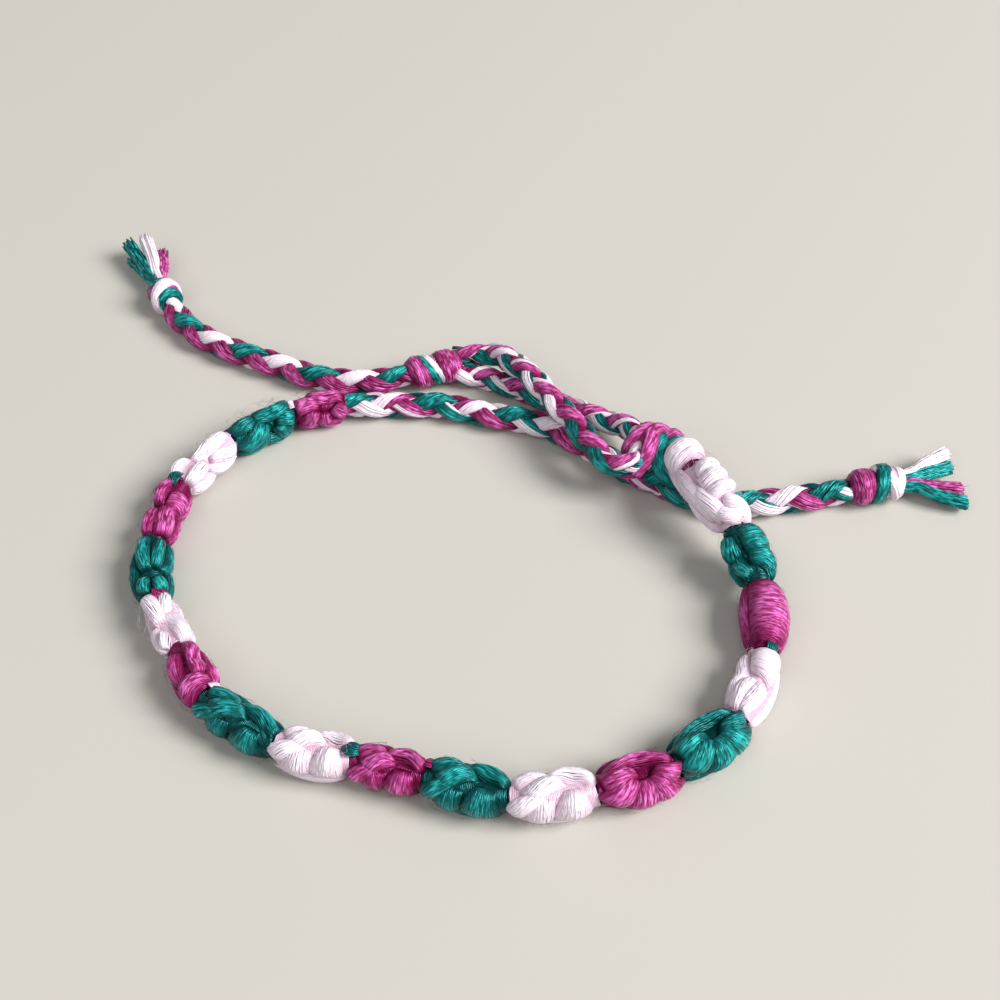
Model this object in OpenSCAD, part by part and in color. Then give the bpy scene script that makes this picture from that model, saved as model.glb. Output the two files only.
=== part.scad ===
/* [Band] */
// Radius of a knot where it is thickest
knot_r = 2.45; // [2.2:0.05:2.6]
// Radius of a knot at its two ends
knot_end_r = 1.8; // [1.5:0.05:2]
// How far the lobes of thread swell out of a knot and sink into it
lobe_h = 0.2; // [0:0.02:0.24]
// Depth of the dimple where the lobes of a knot cross
dimple_h = 0.5; // [0:0.05:0.6]
// Gap between neighbouring knots
knot_gap = 0.15; // [0.1:0.05:0.3]
// Radius of the bundle of threads that the knots are tied on
core_r = 0.9; // [0.7:0.05:1]
// Clearance between that bundle and the knots
core_gap = 0.12; // [0.08:0.02:0.2]
// Radius of the lashing at the right end of the band
lashing_r = 1.45; // [1.3:0.05:1.5]
// Length of that lashing
lashing_len = 2.4; // [1.8:0.1:2.6]

/* [Plaits] */
// Diameter of the two ties
tie_d = 3.2; // [2.8:0.1:3.4]
// Diameter of the plait that forms the eye
eye_d = 2.7; // [2.4:0.1:2.8]
// Share of its thickness that a plait keeps where a knot grips it
grip = 0.72; // [0.6:0.02:0.8]

/* [End knots and tassels] */
// Width of the knot that closes the eye
eye_knot_w = 4.4; // [4:0.1:4.6]
// Thickness of the stop knot on each tie
stop_knot_d = 4.3; // [3.8:0.1:4.6]
// Thickness of one lock of a tassel at its tip
lock_d = 1.5; // [1:0.1:1.8]

/* [Hidden] */
// Middle line of the band from its right end, round the front, to its left end
BAND_ROUTE = [
    [24.4, 16.3, 5.2], [26.8, 9.6, 6.3], [29.4, 5.0, 4.9], [31.4, -1.1, 3.2], [30.8, -9.4, 2.5],
    [27.4, -17.1, 2.4], [21.1, -22.3, 2.4], [13.9, -24.9, 2.4], [6.0, -25.6, 2.4], [-1.7, -23.6, 2.4],
    [-8.5, -21.8, 2.4], [-15.7, -20.0, 2.4], [-23.1, -14.8, 2.4], [-26.6, -9.1, 2.4], [-30.2, -2.8, 2.4],
    [-31.5, 5.2, 2.4], [-30.0, 13.3, 2.4], [-25.5, 20.2, 2.4], [-19.0, 25.1, 2.4], [-12.9, 26.4, 2.4]];

PINK = "lavenderblush";
GREEN = "teal";
MAGENTA = "mediumvioletred";

// The knots in order along the band. from and to are places on the route, counted in its points.
// width multiplies the thickness. The dimple's place runs from 0 to 1 along the knot, and its
// angle goes round the band, with 0 at the outside of the loop and 90 on top.
FROM = 0; TO = 1; COLOUR = 2; WIDTH = 3; DIMPLE_AT = 4; DIMPLE_ANGLE = 5;
KNOTS = [
    [0, 2, PINK, 1.10, 0.37, 120],
    [2, 3, GREEN, 1.06, 0.55, 130],
    [3, 4, MAGENTA, 1.06, 0.90, 160],
    [4, 5, PINK, 1.02, 0.45, 135],
    [5, 6, GREEN, 1.10, 0.40, 100],
    [6, 7, MAGENTA, 1.08, 0.45, 85],
    [7, 8, PINK, 1.06, 0.30, 100],
    [8, 9, GREEN, 1.08, 0.30, 100],
    [9, 10, MAGENTA, 0.94, 0.40, 90],
    [10, 11, PINK, 1.00, 0.30, 120],
    [11, 12, GREEN, 0.98, 0.20, 95],
    [12, 13, MAGENTA, 1.00, 0.60, 115],
    [13, 14, PINK, 0.92, 0.40, 100],
    [14, 15, GREEN, 0.94, 0.33, 100],
    [15, 16, MAGENTA, 0.92, 0.30, 110],
    [16, 17, PINK, 0.95, 0.50, 105],
    [17, 18, GREEN, 1.04, 0.58, 135],
    [18, 19, MAGENTA, 0.92, 0.68, 125]];

// The eye: one plait that leaves its knot, goes round the end of the band and comes back
EYE_ROUTE = [
    [0.4, 35.2, 2.2], [2.6, 35.2, 2.3], [4.4, 34.5, 3.0], [6.1, 32.4, 3.9], [7.8, 29.7, 4.7],
    [9.5, 26.9, 5.0], [11.0, 24.3, 5.0], [12.5, 21.9, 5.0], [13.9, 19.4, 5.0], [15.0, 17.2, 5.0],
    [16.2, 15.4, 5.0], [17.6, 14.3, 4.9], [19.2, 14.1, 4.9], [20.2, 15.0, 4.9], [20.7, 16.7, 4.9],
    [20.5, 18.4, 4.7], [20.2, 20.1, 4.1], [19.2, 21.9, 3.2], [17.2, 23.9, 2.2], [14.6, 25.9, 1.6],
    [12.3, 27.3, 1.4], [9.8, 28.8, 1.4], [7.3, 30.2, 1.4], [5.3, 31.2, 1.4], [3.8, 31.9, 1.4],
    [2.2, 32.4, 1.5], [0.7, 32.5, 1.8]];

// The knot that closes the eye, and the left tie that goes on from it
EYE_KNOT_ROUTE = [[0.2, 33.8, 2.2], [-3.2, 32.8, 2.2], [-6.0, 31.9, 2.1]];
TIE_LEFT_ROUTE = [
    [-6.2, 31.8, 2.1], [-9.2, 31.2, 1.8], [-13.2, 31.2, 1.7], [-17.2, 32.0, 1.7], [-20.7, 33.7, 1.7],
    [-26.2, 36.2, 1.7], [-31.2, 39.2, 1.7], [-34.2, 42.2, 1.7], [-35.7, 44.6, 1.9]];

// The right tie starts at the left end of the band and passes beneath the eye and the first knot
TIE_RIGHT_ROUTE = [
    [-12.8, 26.6, 2.2], [-10.7, 26.9, 1.9], [-6.7, 27.2, 1.7], [-2.2, 27.0, 1.7], [2.8, 25.8, 1.7],
    [7.3, 24.6, 1.7], [10.3, 23.6, 1.7], [13.4, 21.5, 1.7], [16.2, 19.1, 1.6], [18.8, 17.0, 1.6],
    [20.6, 16.0, 1.6], [22.6, 14.6, 1.6], [25.0, 13.0, 1.6], [28.3, 11.7, 1.6], [31.8, 11.5, 1.6],
    [34.8, 11.8, 1.7], [37.8, 12.4, 1.7], [40.8, 12.8, 1.8], [43.0, 13.2, 2.0]];

// Each stop knot: where it starts and where it ends
STOP_LEFT_ROUTE = [[-35.8, 44.8, 2.1], [-36.9, 46.6, 2.2], [-37.9, 48.3, 2.1]];
STOP_RIGHT_ROUTE = [[43.2, 13.2, 2.2], [46.2, 13.9, 2.3], [49.1, 14.5, 2.2]];

// The locks of each tassel: where the tip of the lock lies
TASSEL_LEFT_TIPS = [[-42.8, 55.0, 1.6], [-40.8, 55.8, 1.9], [-38.8, 54.6, 1.5], [-41.8, 52.8, 1.0]];
TASSEL_RIGHT_TIPS = [[55.2, 18.2, 2.2], [55.8, 16.0, 1.6], [56.7, 13.5, 1.2], [56.4, 12.0, 1.3]];

KNOT_SIDES = 12;
KNOT_STEPS = 12;
CORE_SIDES = 6;
CORE_STEPS = 4;
CORD_SIDES = 8;
WRAP_SIDES = 10;
END_GAP = 0.12;

function knot_name(i) = str("band_knot_", i < 9 ? "0" : "", i + 1);
KNOT_NODES = [for (i = [0 : len(KNOTS) - 1]) knot_name(i)];

function unit(v) = v / norm(v);
function last(list) = len(list) - 1;

// A smooth curve through the points of a route; t counts the points
function route_at(route, t) =
    let (k = max(0, min(last(route) - 1, floor(t))),
         u = t - k,
         b = route[k],
         c = route[k + 1],
         a = k > 0 ? route[k - 1] : 2 * b - c,
         d = k + 2 <= last(route) ? route[k + 2] : 2 * c - b)
    0.5 * (2 * b + (c - a) * u + (2 * a - 5 * b + 4 * c - d) * u * u
           + (3 * b - a - 3 * c + d) * u * u * u);

function route_dir(route, t) =
    unit(route_at(route, min(t + 0.01, last(route))) - route_at(route, max(t - 0.01, 0)));

// Point at an angle round a route: 0 is level and to the left of the way it runs, 90 is up
function round_route(route, t, angle, r, squash = 1) =
    let (d = route_dir(route, t),
         side = unit(cross([0, 0, 1], d)),
         up = cross(d, side),
         p = route_at(route, t) + r * (cos(angle) * side + squash * sin(angle) * up))
    [p.x, p.y, max(0, p.z)];

// Faces between the rings of a tube, turned outwards; rings follow each other from index first
function wall_faces(rings, sides, first = 0, inward = false) = [
    for (k = [0 : rings - 2], s = [0 : sides - 1])
        let (a = first + k * sides + s,
             b = first + k * sides + (s + 1) % sides,
             quad = [a, b, b + sides, a + sides],
             turned = inward ? quad : [quad[3], quad[2], quad[1], quad[0]])
        each [[turned[0], turned[1], turned[2]], [turned[0], turned[2], turned[3]]]];

// A closed tube along a route, with a radius and a height factor for each ring
module route_tube(route, times, radii, sides, squash = 1) {
    points = [for (k = [0 : last(times)], s = [0 : sides - 1])
        round_route(route, times[k], 360 * s / sides, radii[k], squash)];
    start_cap = [[for (s = [0 : sides - 1]) s]];
    end_cap = [[for (s = [sides - 1 : -1 : 0]) last(times) * sides + s]];
    polyhedron(points, concat(start_cap, wall_faces(len(times), sides), end_cap), convexity = 4);
}

// How thick a knot is at a place along it (0 to 1) and at an angle round it
function knot_radius(k, along, angle) =
    let (body = knot_end_r + (knot_r * k[WIDTH] - knot_end_r) * pow(sin(180 * along), 0.6),
         swell = lobe_h * cos(2 * (angle - k[DIMPLE_ANGLE])) * cos(360 * (along - k[DIMPLE_AT])),
         off_angle = (angle - k[DIMPLE_ANGLE] + 540) % 360 - 180,
         off_along = (along - k[DIMPLE_AT]) / 0.13,
         sunk = dimple_h * exp(-off_along * off_along - pow(off_angle / 28, 2)))
    body - swell * sin(180 * along) - sunk;

// Ring of faces that joins the outer edge of a knot's end to the edge of its hole
function end_faces(outer, inner, flip) = [
    for (s = [0 : CORE_SIDES - 1])
        let (o = [for (q = [0 : 2]) outer + (2 * s + q) % KNOT_SIDES],
             i = [for (q = [0 : 1]) inner + (s + q) % CORE_SIDES])
        for (face = [[o[0], o[1], i[0]], [o[1], i[1], i[0]], [o[1], o[2], i[1]]])
            flip ? [face[2], face[1], face[0]] : face];

// One knot of the band, with the hole that the carried threads run through
module band_knot(i) {
    k = KNOTS[i];
    route_len = norm(route_at(BAND_ROUTE, k[TO]) - route_at(BAND_ROUTE, k[FROM]));
    trim = knot_gap / 2 / route_len;
    function place(share) = k[FROM] + (k[TO] - k[FROM]) * (trim + (1 - 2 * trim) * share);
    outer = [for (q = [0 : KNOT_STEPS], s = [0 : KNOT_SIDES - 1])
        let (angle = 360 * s / KNOT_SIDES)
        round_route(BAND_ROUTE, place(q / KNOT_STEPS), angle, knot_radius(k, q / KNOT_STEPS, angle))];
    hole_steps = CORE_STEPS * (k[TO] - k[FROM]);
    hole = [for (q = [0 : hole_steps], s = [0 : CORE_SIDES - 1])
        round_route(BAND_ROUTE, place(q / hole_steps), 360 * s / CORE_SIDES, core_r + core_gap)];
    first = len(outer);
    faces = concat(
        wall_faces(KNOT_STEPS + 1, KNOT_SIDES),
        wall_faces(hole_steps + 1, CORE_SIDES, first, true),
        end_faces(0, first, false),
        end_faces(KNOT_STEPS * KNOT_SIDES, first + hole_steps * CORE_SIDES, true));
    color(k[COLOUR]) polyhedron(concat(outer, hole), faces, convexity = 6);
}

// The threads of the other two colours, carried through the whole row of knots
module core_threads() {
    steps = last(BAND_ROUTE) * CORE_STEPS;
    times = [for (q = [0 : steps]) q / CORE_STEPS];
    color(GREEN) route_tube(BAND_ROUTE, times, [for (t = times) core_r], CORE_SIDES);
}

// A few turns of thread that bind the eye to the right end of the band
module end_lashing() {
    start = BAND_ROUTE[0];
    away = -route_dir(BAND_ROUTE, 0);
    route = [start + END_GAP * away, start + (END_GAP + lashing_len / 2) * away,
             start + (END_GAP + lashing_len) * away];
    shape = [0.85, 1, 1, 0.8];
    times = [for (q = [0 : 3]) 2 * q / 3];
    color(MAGENTA) route_tube(route, times, [for (s = shape) s * lashing_r], WRAP_SIDES);
}

// A plait along its route, with a ring at each point, pinched at its ends by what grips it
module plait(route, d) {
    count = last(route);
    radii = [for (t = [0 : count]) d / 2 * (t == 0 || t == count ? grip : 1)];
    route_tube(route, [for (t = [0 : count]) t], radii, CORD_SIDES);
}

module eye_plait() { color(MAGENTA) plait(EYE_ROUTE, eye_d); }
module tie_left() { color(GREEN) plait(TIE_LEFT_ROUTE, tie_d); }
module tie_right() { color(GREEN) plait(TIE_RIGHT_ROUTE, tie_d); }

// A knot in a plait: turns of thread that swell in the middle and have waists between them
module wrapped_knot(route, width, height_share, profile) {
    times = [for (q = [0 : last(profile)]) last(route) * q / last(profile)];
    route_tube(route, times, [for (p = profile) p * width / 2], WRAP_SIDES, height_share);
}

module eye_knot() {
    color(MAGENTA)
        wrapped_knot(EYE_KNOT_ROUTE, eye_knot_w, 0.88, [0.72, 0.98, 0.95, 0.84, 0.98, 1, 0.72]);
}
module stop_knot_left() {
    color(PINK) wrapped_knot(STOP_LEFT_ROUTE, stop_knot_d, 0.95, [0.6, 0.95, 1, 0.9, 0.98, 0.6]);
}
module stop_knot_right() {
    color(MAGENTA)
        wrapped_knot(STOP_RIGHT_ROUTE, stop_knot_d, 0.95, [0.6, 0.95, 1, 0.86, 0.95, 0.98, 0.62]);
}

// Locks of loose thread that spread from a stop knot, fused where they leave it
module tassel(knot_route, tips) {
    mouth = knot_route[last(knot_route)];
    out = unit(mouth - knot_route[last(knot_route) - 1]);
    root = mouth + END_GAP * out;
    union() {
        for (tip = tips) {
            spread = tip - root - out * ((tip - root) * out);
            base = root + 0.14 * spread;
            bend = root + 0.5 * (tip - root) + 0.08 * spread;
            lock = [base, base + 0.2 * norm(tip - root) * out, bend, tip];
            route_tube(lock, [0, 1, 2, 3], [0.85, 0.8, 0.8, 1] * lock_d / 2, 6);
        }
    }
}

module tassel_left() { color(PINK) tassel(STOP_LEFT_ROUTE, TASSEL_LEFT_TIPS); }
module tassel_right() { color(GREEN) tassel(STOP_RIGHT_ROUTE, TASSEL_RIGHT_TIPS); }

for (i = [0 : last(KNOTS)]) band_knot(i);
core_threads();
end_lashing();
eye_plait();
eye_knot();
tie_left();
tie_right();
stop_knot_left();
stop_knot_right();
tassel_left();
tassel_right();
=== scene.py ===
import math
import bpy
import numpy as np
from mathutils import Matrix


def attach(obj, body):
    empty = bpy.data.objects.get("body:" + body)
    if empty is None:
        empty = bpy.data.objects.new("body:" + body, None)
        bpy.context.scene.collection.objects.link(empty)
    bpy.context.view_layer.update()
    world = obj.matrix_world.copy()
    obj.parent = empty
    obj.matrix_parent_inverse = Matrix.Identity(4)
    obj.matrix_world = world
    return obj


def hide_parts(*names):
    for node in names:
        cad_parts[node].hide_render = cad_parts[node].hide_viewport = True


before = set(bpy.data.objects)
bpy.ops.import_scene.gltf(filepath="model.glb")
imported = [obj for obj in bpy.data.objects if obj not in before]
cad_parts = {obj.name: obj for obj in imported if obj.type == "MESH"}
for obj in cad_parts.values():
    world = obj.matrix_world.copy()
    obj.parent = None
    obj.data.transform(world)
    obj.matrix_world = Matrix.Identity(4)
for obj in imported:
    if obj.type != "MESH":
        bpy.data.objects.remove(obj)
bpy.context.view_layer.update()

# The camera stands in front of the bracelet and above it, about 15 centimetres from its middle, and
# looks down on it at 47 degrees, so that the knots in front look the largest.
CAMERA_PLACE = (0.00498, -0.09581, 0.11737)
CAMERA_PITCH = 47
camera_data = bpy.data.cameras.new("camera")
camera_data.sensor_width = 36
camera_data.lens = 52.2
camera_data.clip_start = 0.005
camera = bpy.data.objects.new("camera", camera_data)
camera.location = CAMERA_PLACE
camera.rotation_euler = (math.radians(90 - CAMERA_PITCH), 0, 0)
bpy.context.scene.collection.objects.link(camera)
bpy.context.scene.camera = camera

# The eye and the two ties are round plaits of four strands of embroidery floss, a mercerised cotton
# whose fine plies shine along their length. Two strands wind one way round and two the other, each
# over and under in turn. The eye turns back round the band's right end, the ties run on loose.
EYE_ROUTE = [
    (0.4, 35.2, 2.2), (2.6, 35.2, 2.3), (4.4, 34.5, 3.0), (6.1, 32.4, 3.9), (7.8, 29.7, 4.7),
    (9.5, 26.9, 5.0), (11.0, 24.3, 5.0), (12.5, 21.9, 5.0), (13.9, 19.4, 5.0), (15.0, 17.2, 5.0),
    (16.2, 15.4, 5.0), (17.6, 14.3, 4.9), (19.2, 14.1, 4.9), (20.2, 15.0, 4.9), (20.7, 16.7, 4.9),
    (20.5, 18.4, 4.7), (20.2, 20.1, 4.1), (19.2, 21.9, 3.2), (17.2, 23.9, 2.2), (14.6, 25.9, 1.6),
    (12.3, 27.3, 1.4), (9.8, 28.8, 1.4), (7.3, 30.2, 1.4), (5.3, 31.2, 1.4), (3.8, 31.9, 1.4),
    (2.2, 32.4, 1.5), (0.7, 32.5, 1.8)]
TIE_LEFT_ROUTE = [
    (-6.2, 31.8, 2.1), (-9.2, 31.2, 1.8), (-13.2, 31.2, 1.7), (-17.2, 32.0, 1.7), (-20.7, 33.7, 1.7),
    (-26.2, 36.2, 1.7), (-31.2, 39.2, 1.7), (-34.2, 42.2, 1.7), (-35.7, 44.6, 1.9)]
TIE_RIGHT_ROUTE = [
    (-12.8, 26.6, 2.2), (-10.7, 26.9, 1.9), (-6.7, 27.2, 1.7), (-2.2, 27.0, 1.7), (2.8, 25.8, 1.7),
    (7.3, 24.6, 1.7), (10.3, 23.6, 1.7), (13.4, 21.5, 1.7), (16.2, 19.1, 1.6), (18.8, 17.0, 1.6),
    (20.6, 16.0, 1.6), (22.6, 14.6, 1.6), (25.0, 13.0, 1.6), (28.3, 11.7, 1.6), (31.8, 11.5, 1.6),
    (34.8, 11.8, 1.7), (37.8, 12.4, 1.7), (40.8, 12.8, 1.8), (43.0, 13.2, 2.0)]
# Sizes in mm. Those of the strands are for a plait 3.2 mm thick, and shrink with a thinner plait.
PLAIT_THICK = 3.2
PLAIT_PITCH = 9.6
PLAIT_STEP = 0.55
RUN_ON = 0.9
SQUEEZE = 0.2
SQUEEZE_LONG = 1.6
LINGER = 0.42
STRAND_PLIES = 22
PLY = 0.30
STRAND_WIDE = 0.82
STRAND_HIGH = 0.56
STRAND_CORE = 1.6 * STRAND_HIGH
STRAND_TWIST = 26
STRAND_LEAD = 45
STRAND_OUT = 0.66
STRAND_OVER = 0.30
STRAND_FULL = {"pink": 0.90, "green": 1.04, "magenta": 1.04}
FLAT_TOP = 0.6
PLY_STRAY = 0.06
PLY_UNEVEN = 0.03
# The sides of a strand and the stretches where it passes under keep less of the painted highlight than its
# top, and get painted shade.
SIDE_CREST = 0.16
UNDER_CREST = 0.5
# Each row: the strand's own colour, and the colour and number of the plies of another floss in it.
# The first two strands wind one way round the plait, the other two the other way.
OWN, OTHER, OTHER_PLIES = range(3)
EYE_STRANDS = [("green", "pink", 5), ("green", "pink", 9), ("magenta", "pink", 5), ("magenta", "pink", 3)]
TIE_LEFT_STRANDS = [("magenta", None, 0), ("magenta", None, 0), ("green", None, 0), ("pink", None, 0)]
TIE_RIGHT_STRANDS = [("magenta", "pink", 3), ("pink", "green", 11), ("green", None, 0),
                     ("pink", "magenta", 6)]

# Streaks of painted highlight run along each ply where it lies on top, painted shade darkens the
# hollows between strands and loops, and the dye is uneven from ply to ply. The streaks are counted
# per mm of ply.
HIGHLIGHT_STREAKS_PER_MM = 0.9
HIGHLIGHT_STREAK_SHIFT = 60.0
HIGHLIGHT_STREAK_DULL = 0.42
HIGHLIGHT_STREAK_LIT = 0.66
LEAST_SHINE = 0.1
SHINE_POWER = 2.5
PAINTED_SHADE_POWER = 1.6
UNEVEN_DYE = 0.4
UNEVEN_POWER = 3.0
TWIST_PER_MM = 1.1
STRANDS_IN_PLY = 2
TWIST_DEEP = 0.00004


def new_group(name, inputs, outputs):
    group = bpy.data.node_groups.new(name, "ShaderNodeTree")
    for side, sockets in (("INPUT", inputs), ("OUTPUT", outputs)):
        for label, kind in sockets:
            group.interface.new_socket(name=label, in_out=side, socket_type="NodeSocket" + kind)
    start = group.nodes.new("NodeGroupInput")
    end = group.nodes.new("NodeGroupOutput")
    return group, start, end


def math_node(tree, operation, *values):
    node = tree.nodes.new("ShaderNodeMath")
    node.operation = operation
    for socket, value in zip(node.inputs, values):
        if isinstance(value, (int, float)):
            socket.default_value = value
        else:
            tree.links.new(value, socket)
    return node.outputs[0]


def mixed_colour(tree, share, first, second):
    node = tree.nodes.new("ShaderNodeMix")
    node.data_type = "RGBA"
    first_socket, second_socket = [socket for socket in node.inputs if socket.type == "RGBA"]
    tree.links.new(share, node.inputs["Factor"])
    tree.links.new(first, first_socket)
    tree.links.new(second, second_socket)
    return next(socket for socket in node.outputs if socket.type == "RGBA")


def floss_colour_and_light_group():
    """The colour of a ply: its body, painted highlight streaks on top, painted shade and uneven dye."""
    group, start, end = new_group(
        "floss colour and painted light",
        [("Thread", "Vector"), ("Crest", "Float"), ("Body", "Color"), ("Bright", "Color"), ("Dye and Painted Shade", "Color")],
        [("Color", "Color")])
    parts = group.nodes.new("ShaderNodeSeparateXYZ")
    group.links.new(start.outputs["Thread"], parts.inputs[0])
    along, _, chance = parts.outputs
    streaks = group.nodes.new("ShaderNodeCombineXYZ")
    group.links.new(math_node(group, "MULTIPLY", along, HIGHLIGHT_STREAKS_PER_MM), streaks.inputs[0])
    group.links.new(math_node(group, "MULTIPLY", chance, HIGHLIGHT_STREAK_SHIFT), streaks.inputs[1])
    noise = group.nodes.new("ShaderNodeTexNoise")
    noise.inputs["Scale"].default_value = 1.0
    noise.inputs["Detail"].default_value = 1.0
    group.links.new(streaks.outputs[0], noise.inputs["Vector"])
    spread = group.nodes.new("ShaderNodeMapRange")
    spread.inputs["From Min"].default_value = HIGHLIGHT_STREAK_DULL
    spread.inputs["From Max"].default_value = HIGHLIGHT_STREAK_LIT
    group.links.new(noise.outputs[0], spread.inputs["Value"])
    highlight_streak = math_node(group, "MULTIPLY_ADD", spread.outputs[0], 1 - LEAST_SHINE, LEAST_SHINE)
    crest = math_node(group, "MAXIMUM", math_node(group, "MINIMUM", start.outputs["Crest"], 1.0), 0.0)
    # Painted highlight: the lighter colour shows in streaks where the ply lies on top.
    shine = math_node(group, "MULTIPLY", highlight_streak, math_node(group, "POWER", crest, SHINE_POWER))
    lit = mixed_colour(group, shine, start.outputs["Body"], start.outputs["Bright"])
    # Painted shade: the darker colour deepens where the ply lies low, and uneven dye darkens random plies.
    uneven = math_node(group, "MULTIPLY", math_node(group, "POWER", chance, UNEVEN_POWER), UNEVEN_DYE)
    painted_shade = math_node(group, "POWER", math_node(group, "SUBTRACT", 1.0, crest), PAINTED_SHADE_POWER)
    shade = math_node(group, "MAXIMUM", uneven, painted_shade)
    group.links.new(mixed_colour(group, shade, lit, start.outputs["Dye and Painted Shade"]), end.inputs["Color"])
    return group


def ply_twist_group():
    """The height of the strands that a ply is twisted from."""
    group, start, end = new_group(
        "ply twist", [("Thread", "Vector"), ("Turns per mm", "Float"), ("Strands", "Float")],
        [("Height", "Float")])
    parts = group.nodes.new("ShaderNodeSeparateXYZ")
    group.links.new(start.outputs["Thread"], parts.inputs[0])
    along, around_ply, chance = parts.outputs
    lay = math_node(group, "MULTIPLY", along, start.outputs["Turns per mm"])
    lay = math_node(group, "ADD", lay, chance)
    phase = math_node(group, "MULTIPLY_ADD", around_ply, start.outputs["Strands"], lay)
    wave = math_node(group, "SINE", math_node(group, "MULTIPLY", phase, 2 * math.pi))
    group.links.new(math_node(group, "MULTIPLY_ADD", wave, 0.5, 0.5), end.inputs["Height"])
    return group


floss_colour_and_light = floss_colour_and_light_group()
ply_twist = ply_twist_group()


def dyed_floss(name, body, painted_highlight, deep, tint, sheen):
    """Cotton floss of one dye, with painted highlight and painted shade. It reads two attributes of the
    thread's mesh: "thread" holds how far along and round its ply a place lies and the ply's own
    chance, "crest" how far it is on top, which sets its painted highlight and painted shade."""
    material = bpy.data.materials.new(name)
    material.use_nodes = True
    tree = material.node_tree
    skin = tree.nodes["Principled BSDF"]
    thread = tree.nodes.new("ShaderNodeAttribute")
    thread.attribute_name = "thread"
    crest = tree.nodes.new("ShaderNodeAttribute")
    crest.attribute_name = "crest"
    colour = tree.nodes.new("ShaderNodeGroup")
    colour.node_tree = floss_colour_and_light
    for socket, value in (("Body", body), ("Bright", painted_highlight), ("Dye and Painted Shade", deep)):
        colour.inputs[socket].default_value = (*value, 1)
    tree.links.new(thread.outputs["Vector"], colour.inputs["Thread"])
    tree.links.new(crest.outputs["Fac"], colour.inputs["Crest"])
    tree.links.new(colour.outputs["Color"], skin.inputs["Base Color"])
    twist = tree.nodes.new("ShaderNodeGroup")
    twist.node_tree = ply_twist
    twist.inputs["Turns per mm"].default_value = TWIST_PER_MM
    twist.inputs["Strands"].default_value = STRANDS_IN_PLY
    tree.links.new(thread.outputs["Vector"], twist.inputs["Thread"])
    bump = tree.nodes.new("ShaderNodeBump")
    bump.inputs["Strength"].default_value = 0.5
    bump.inputs["Distance"].default_value = TWIST_DEEP
    tree.links.new(twist.outputs["Height"], bump.inputs["Height"])
    tree.links.new(bump.outputs["Normal"], skin.inputs["Normal"])
    skin.inputs["Roughness"].default_value = 0.33
    skin.inputs["IOR"].default_value = 1.5
    skin.inputs["Specular IOR Level"].default_value = 0.85
    skin.inputs["Specular Tint"].default_value = (*tint, 1)
    skin.inputs["Sheen Weight"].default_value = sheen
    skin.inputs["Sheen Roughness"].default_value = 0.4
    skin.inputs["Sheen Tint"].default_value = (*tint, 1)
    return material


# Each floss: its body colour, the lighter colour of its painted highlight, the darker colour of its painted
# shade and of its uneven dye, the tint of its gloss, and its sheen.
FLOSS = {
    "pink": dyed_floss("pink floss", body=(0.80, 0.69, 0.78), painted_highlight=(0.87, 0.82, 0.87),
                       deep=(0.60, 0.37, 0.48), tint=(1.0, 0.95, 0.98), sheen=0.10),
    "green": dyed_floss("green floss", body=(0.0006, 0.037, 0.036), painted_highlight=(0.025, 0.46, 0.44),
                        deep=(0.0003, 0.012, 0.014), tint=(0.15, 1.0, 0.98), sheen=0.0),
    "magenta": dyed_floss("magenta floss", body=(0.20, 0.002, 0.052), painted_highlight=(0.90, 0.22, 0.64),
                          deep=(0.09, 0.001, 0.02), tint=(1.0, 0.22, 0.75), sheen=0.0),
}
COLOURS = list(FLOSS)
MM = 0.001
LOWEST = 0.01
NUDGE = 0.01
FINE_STEPS = 40
dice = np.random.default_rng(7)


def route_at(route, count):
    """Places on the smooth curve through a route's points; count is 0 at the first point."""
    points = np.asarray(route, float)
    points = np.vstack([2 * points[0] - points[1], points, 2 * points[-1] - points[-2]])
    first = np.clip(np.floor(count).astype(int), 0, len(points) - 4)
    u = (count - first)[..., None]
    a, b, c, d = (points[first + i] for i in range(4))
    return 0.5 * (2 * b + (c - a) * u + (2 * a - 5 * b + 4 * c - d) * u**2 + (3 * b - a - 3 * c + d) * u**3)


def unit(v):
    return v / (np.linalg.norm(v, axis=-1, keepdims=True) + 1e-12)


def route_frame(route, count):
    """Place, direction, level side and up side of a route."""
    last = len(route) - 1.0
    ahead = route_at(route, np.minimum(count + NUDGE, last))
    way = unit(ahead - route_at(route, np.maximum(count - NUDGE, 0)))
    side = unit(np.cross([0.0, 0.0, 1.0], way))
    return route_at(route, count), way, side, np.cross(way, side)


def even_steps(route, step):
    """Counts along a route that lie a step apart in millimetres, and how far along each is."""
    count = np.linspace(0, len(route) - 1, FINE_STEPS * len(route))
    far = np.concatenate([[0], np.cumsum(np.linalg.norm(np.diff(route_at(route, count), axis=0), axis=1))])
    even = np.linspace(0, far[-1], max(4, round(far[-1] / step) + 1))
    return np.interp(even, far, count), even


def around(angle, side, up, wide=1.0, high=1.0):
    """Steps out from a route at an angle round it: 0 is its side, a quarter turn its top."""
    return (wide * np.cos(angle))[..., None] * side + (high * np.sin(angle))[..., None] * up


def swing(least, value):
    """Turns a value that swings from -1 to 1 into one that swings from least to 1."""
    return least + (1 - least) * (value + 1) / 2


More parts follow.
